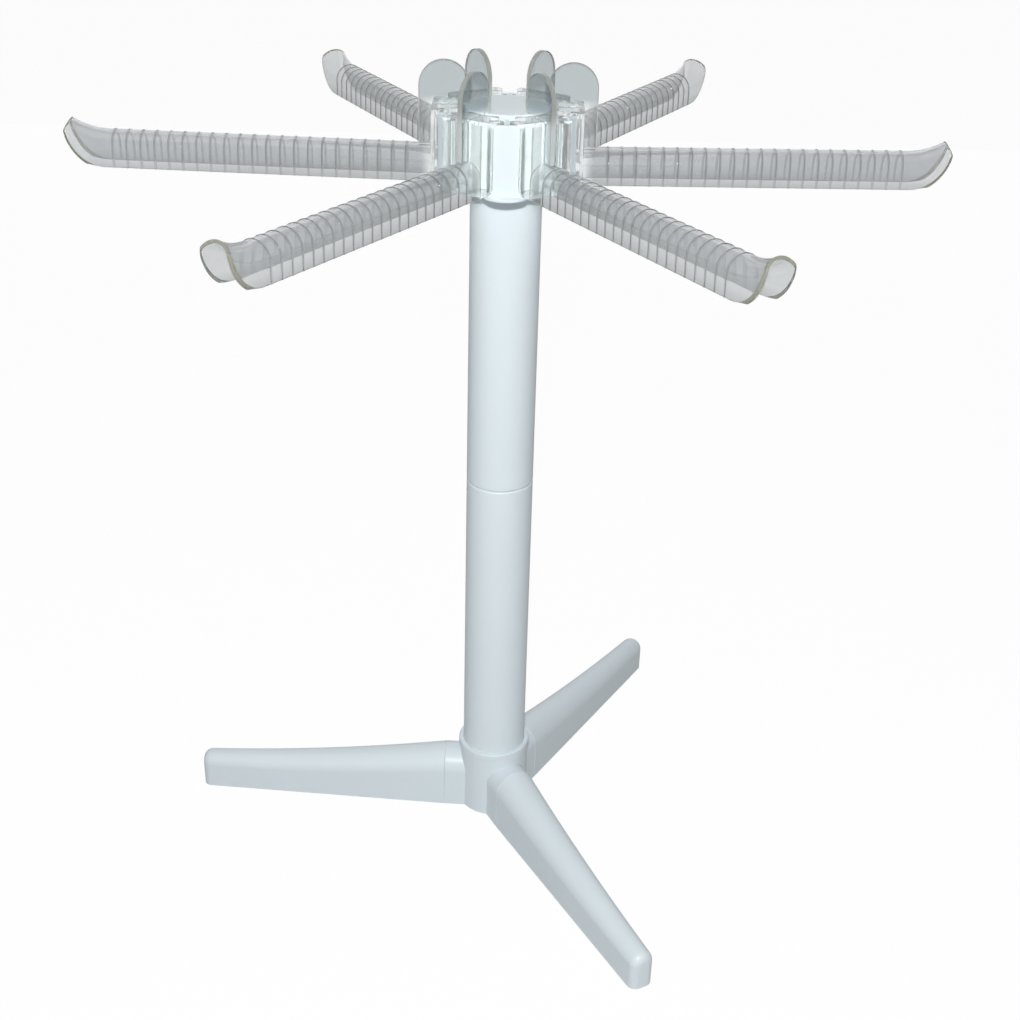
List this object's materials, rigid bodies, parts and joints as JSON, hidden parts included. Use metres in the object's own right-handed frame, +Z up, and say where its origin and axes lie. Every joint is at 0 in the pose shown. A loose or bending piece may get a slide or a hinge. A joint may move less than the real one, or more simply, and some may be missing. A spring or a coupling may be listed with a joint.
{
  "type": "pasta drying rack",
  "caption": "Free-standing pasta drying rack: a white column on splayed legs, with clear ribbed arms that lift out of slots in its turning head.",
  "frame": {"origin": "on the column's axis at the level of the floor", "axes": "+Z up along the column, +X along the first arm"},
  "size_m": [0.4652, 0.4102, 0.4739],
  "materials": {
    "white_plastic": "smooth satin white",
    "clear_plastic": "clear moulded plastic, slightly grey"
  },
  "bodies": {
    "foot": {"base_hub": "white_plastic"},
    "leg_1": {"leg_1": "white_plastic"},
    "leg_2": {"leg_2": "white_plastic"},
    "leg_3": {"leg_3": "white_plastic"},
    "lower_tube": {"lower_tube": "white_plastic"},
    "upper_tube": {"upper_tube": "white_plastic"},
    "head": {"head_core": "white_plastic", "centre_cap": "white_plastic"},
    "arm_1": {"arm_1": "clear_plastic"},
    "arm_2": {"arm_2": "clear_plastic"},
    "arm_3": {"arm_3": "clear_plastic"},
    "arm_4": {"arm_4": "clear_plastic"},
    "arm_5": {"arm_5": "clear_plastic"},
    "arm_6": {"arm_6": "clear_plastic"}
  },
  "joints": [
    {"name": "leg_1_pull", "type": "slide", "parent": "foot", "child": "leg_1", "axis": [-0.9993, 0.0366, 0], "range_m": [0, 0.0215]},
    {"name": "leg_2_pull", "type": "slide", "parent": "foot", "child": "leg_2", "axis": [0.4679, -0.8838, 0], "range_m": [0, 0.0215]},
    {"name": "leg_3_pull", "type": "slide", "parent": "foot", "child": "leg_3", "axis": [0.5314, 0.8471, 0], "range_m": [0, 0.0215]},
    {"name": "column_lift", "type": "slide", "parent": "foot", "child": "lower_tube", "axis": [0, 0, 1], "range_m": [0, 0.02]},
    {"name": "upper_tube_lift", "type": "slide", "parent": "lower_tube", "child": "upper_tube", "axis": [0, 0, 1], "range_m": [0, 0.025]},
    {"name": "head_turn", "type": "hinge", "parent": "upper_tube", "child": "head", "pos_m": [0, 0, 0.411], "axis": [0, 0, 1], "continuous": true},
    {"name": "arm_1_lift", "type": "slide", "parent": "head", "child": "arm_1", "axis": [0, 0, 1], "range_m": [0, 0.0365]},
    {"name": "arm_2_lift", "type": "slide", "parent": "head", "child": "arm_2", "axis": [0, 0, 1], "range_m": [0, 0.0365]},
    {"name": "arm_3_lift", "type": "slide", "parent": "head", "child": "arm_3", "axis": [0, 0, 1], "range_m": [0, 0.0365]},
    {"name": "arm_4_lift", "type": "slide", "parent": "head", "child": "arm_4", "axis": [0, 0, 1], "range_m": [0, 0.0365]},
    {"name": "arm_5_lift", "type": "slide", "parent": "head", "child": "arm_5", "axis": [0, 0, 1], "range_m": [0, 0.0365]},
    {"name": "arm_6_lift", "type": "slide", "parent": "head", "child": "arm_6", "axis": [0, 0, 1], "range_m": [0, 0.0365]}
  ]
}
